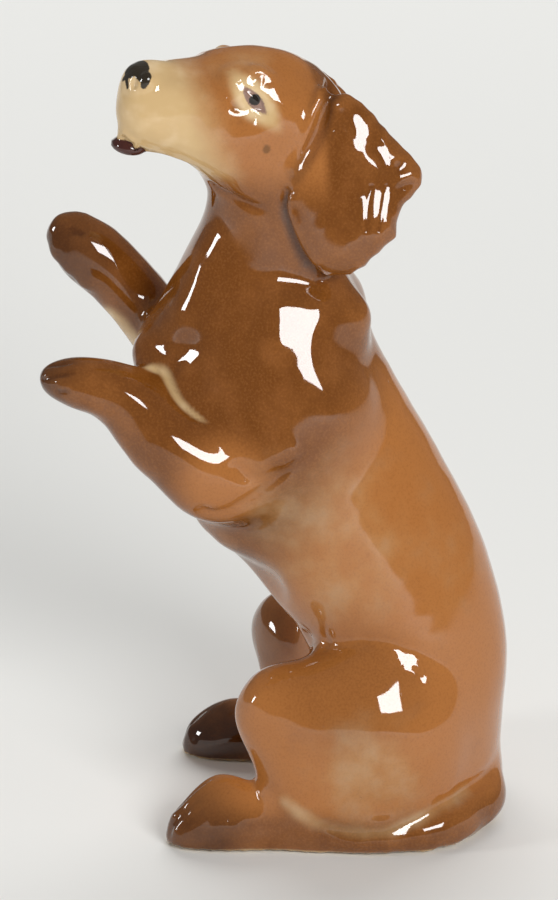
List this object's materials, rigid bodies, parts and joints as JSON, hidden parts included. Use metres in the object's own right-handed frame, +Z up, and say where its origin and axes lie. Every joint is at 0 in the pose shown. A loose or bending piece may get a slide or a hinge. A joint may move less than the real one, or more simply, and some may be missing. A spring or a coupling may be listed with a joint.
{
  "type": "dog figurine",
  "caption": "Glossy brown glazed ceramic figurine of a short-haired hound begging on its haunches, head raised and turned to its left, tail laid round the haunch.",
  "frame": {"origin": "centre of the underside's box, on the surface the figurine stands on", "axes": "+X to the dog's left, +Y to the back of the dog, which looks towards -Y, +Z up"},
  "size_m": [0.0616, 0.1028, 0.1765],
  "materials": {
    "glazed_ceramic": "gloss"
  },
  "bodies": {
    "root": {"dog_figurine": "glazed_ceramic"}
  },
  "joints": []
}
